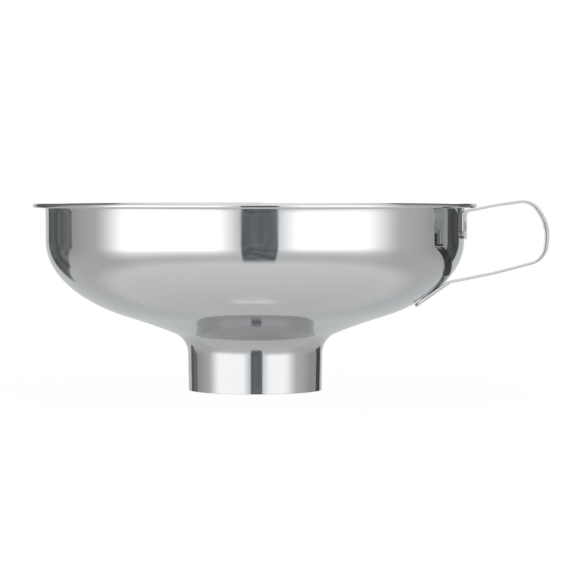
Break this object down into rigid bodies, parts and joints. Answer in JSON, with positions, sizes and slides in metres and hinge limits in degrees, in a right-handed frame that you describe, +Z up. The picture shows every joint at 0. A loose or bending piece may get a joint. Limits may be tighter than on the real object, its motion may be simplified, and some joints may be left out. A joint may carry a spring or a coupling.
{
  "type": "canning funnel",
  "caption": "Wide-mouth canning funnel: shallow round steel bowl with a hemmed rim, a short straight spout and a flat strap loop handle spot-welded to one side.",
  "frame": {"origin": "on the plane of the spout's end, midway along the overall length (handle included) and midway across the width; the funnel's own axis is parallel to +Z and stands at x = -0.0112 m, y = 0", "axes": "+Z up along the funnel's axis, from the spout's end to the rim; +X the way the handle points"},
  "size_m": [0.1624, 0.14, 0.0601],
  "materials": {
    "polished_sheet": "mirror-polished stainless sheet",
    "polished_strap": "polished stainless strap with rounded edges",
    "weld_metal": "slightly dulled spot-weld mark"
  },
  "bodies": {
    "root": {"funnel_body": "polished_sheet", "handle_strap": "polished_strap", "spot_weld_upper_right": "weld_metal", "spot_weld_upper_left": "weld_metal", "spot_weld_lower_right": "weld_metal", "spot_weld_lower_left": "weld_metal"}
  },
  "joints": []
}
